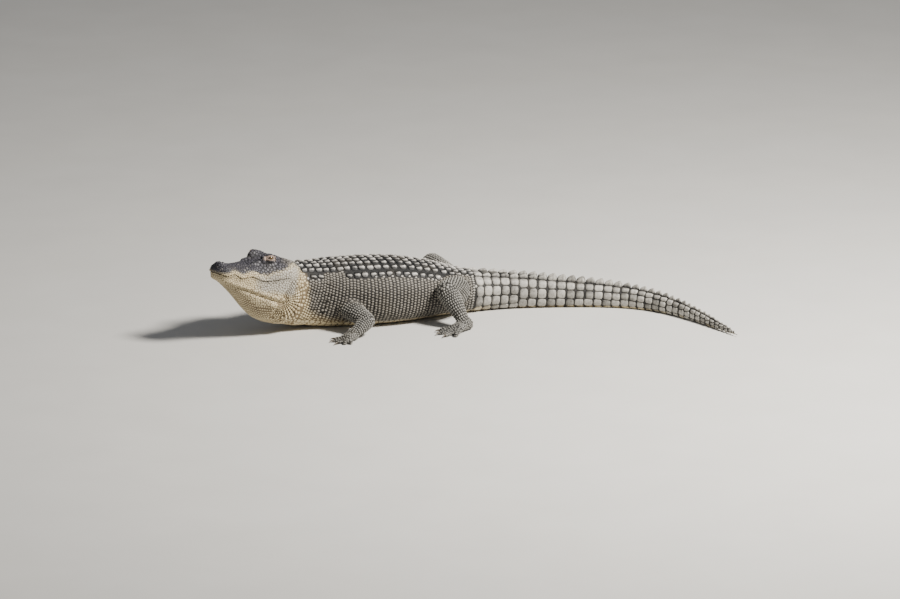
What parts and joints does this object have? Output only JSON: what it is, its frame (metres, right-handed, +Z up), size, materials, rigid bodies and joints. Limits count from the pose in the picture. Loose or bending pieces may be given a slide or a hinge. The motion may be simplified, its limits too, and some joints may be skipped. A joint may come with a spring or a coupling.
{
  "type": "american alligator",
  "caption": "Life-size american alligator lying on its belly with its head raised, throat full, legs spread and tail curved to its left, as a still museum model.",
  "frame": {"origin": "on the floor, under the middle of the whole animal's bounding box", "axes": "+Z up; the head points to -X and the tail to +X; the animal's left side, the one the picture shows, faces -Y"},
  "size_m": [2.0938, 1.2127, 0.3608],
  "materials": {
    "hide": "dry scaly hide, dark with pale keels",
    "pale_hide": "dry scaly hide, cream to yellow",
    "head_hide": "smooth tight skin, blue-grey over cream",
    "eye": "wet, glossy",
    "claw": "dull horn"
  },
  "bodies": {
    "root": {"head": "head_hide", "lower_jaw": "pale_hide", "eye_left": "eye", "eye_right": "eye", "neck": "pale_hide", "trunk": "hide", "tail_base": "hide", "tail_fore": "hide", "tail_middle": "hide", "tail_tip": "hide", "left_fore_upper_arm": "hide", "left_fore_forearm": "hide", "left_fore_foot": "hide", "left_fore_claw_1": "claw", "left_fore_claw_2": "claw", "left_fore_claw_3": "claw", "right_fore_upper_arm": "hide", "right_fore_forearm": "hide", "right_fore_foot": "hide", "right_fore_claw_1": "claw", "right_fore_claw_2": "claw", "right_fore_claw_3": "claw", "left_hind_thigh": "hide", "left_hind_shank": "hide", "left_hind_foot": "hide", "left_hind_claw_1": "claw", "left_hind_claw_2": "claw", "left_hind_claw_3": "claw", "right_hind_thigh": "hide", "right_hind_shank": "hide", "right_hind_foot": "hide", "right_hind_claw_1": "claw", "right_hind_claw_2": "claw", "right_hind_claw_3": "claw"}
  },
  "joints": []
}
